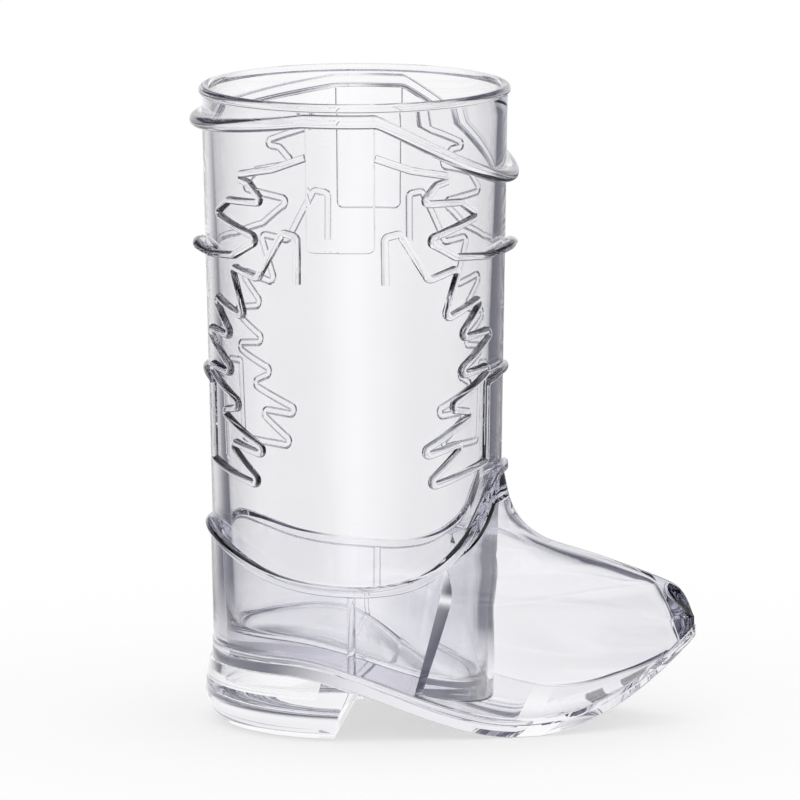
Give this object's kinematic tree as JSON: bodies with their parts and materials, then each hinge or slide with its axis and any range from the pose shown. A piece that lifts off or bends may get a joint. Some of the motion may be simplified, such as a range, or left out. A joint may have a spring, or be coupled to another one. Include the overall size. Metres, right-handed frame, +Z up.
{
  "type": "boot-shaped drinking mug",
  "caption": "Clear boot-shaped drinking mug: a tapered cup with a raised collar, pull straps and flame stitching, seated in a hollow pointed foot on a welted sole with a hollow heel.",
  "frame": {"origin": "under the middle of the part's box, on the table", "axes": "+Z up out of the cup's mouth, +X towards the toe, -Y towards the side seen in the picture"},
  "size_m": [0.1198, 0.0784, 0.152],
  "materials": {
    "clear_body": "clear polished",
    "clear_relief": "clear polished",
    "clear_foot": "clear polished",
    "clear_sole": "clear polished"
  },
  "bodies": {
    "root": {"cup": "clear_body", "collar": "clear_relief", "pull_strap_near": "clear_relief", "pull_strap_far": "clear_relief", "yoke_stitch_front": "clear_relief", "yoke_stitch_back": "clear_relief", "flame_stitch_front": "clear_relief", "flame_stitch_back": "clear_relief", "foot_shell": "clear_foot", "ankle_band": "clear_relief", "side_seam_near": "clear_relief", "side_seam_far": "clear_relief", "welt": "clear_sole", "outsole": "clear_sole", "heel": "clear_sole", "heel_lift": "clear_sole"}
  },
  "joints": []
}
